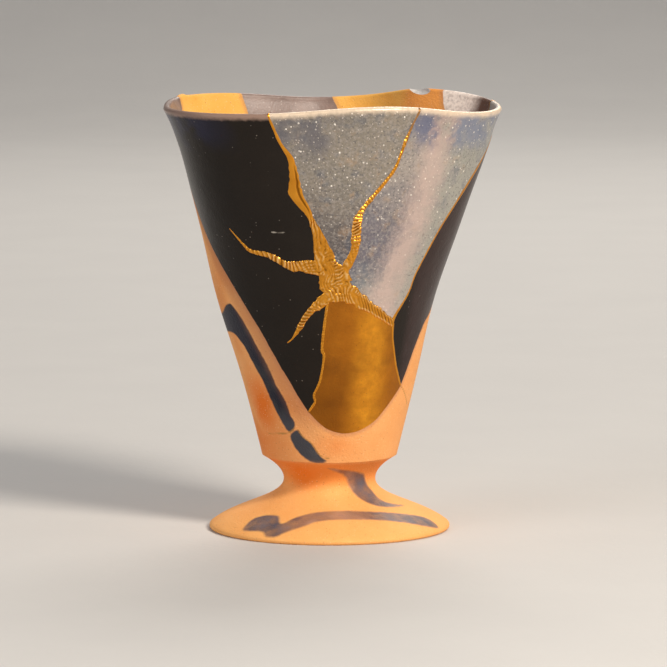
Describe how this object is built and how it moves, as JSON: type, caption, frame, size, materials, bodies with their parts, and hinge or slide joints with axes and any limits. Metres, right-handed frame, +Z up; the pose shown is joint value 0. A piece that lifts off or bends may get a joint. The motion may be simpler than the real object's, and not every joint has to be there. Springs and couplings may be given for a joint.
{
  "type": "kintsugi goblet",
  "caption": "Footed ceramic goblet with a lobed conical bowl, broken at the front and mended with gold seams, for display or for holding a drink",
  "frame": {"origin": "the middle of the foot's flat underside", "axes": "+Z up along the goblet's height, -Y towards the front with the gold seams, +X to the right of the front"},
  "size_m": [0.0907, 0.0799, 0.1175],
  "materials": {
    "clay_body": "near-black brown glaze over the upper bowl, bare orange clay with dark brush strokes below it and on the foot",
    "blue_glaze": "glossy blue-grey glaze with a pearly sheen and fine bright specks",
    "matte_gold": "satin gold with soft cloudy tarnish",
    "bright_gold": "bright wrinkled gold"
  },
  "bodies": {
    "root": {"goblet_body": "clay_body", "blue_shard_middle": "blue_glaze", "blue_shard_right": "blue_glaze", "gold_patch": "matte_gold", "gold_veins": "bright_gold"}
  },
  "joints": []
}
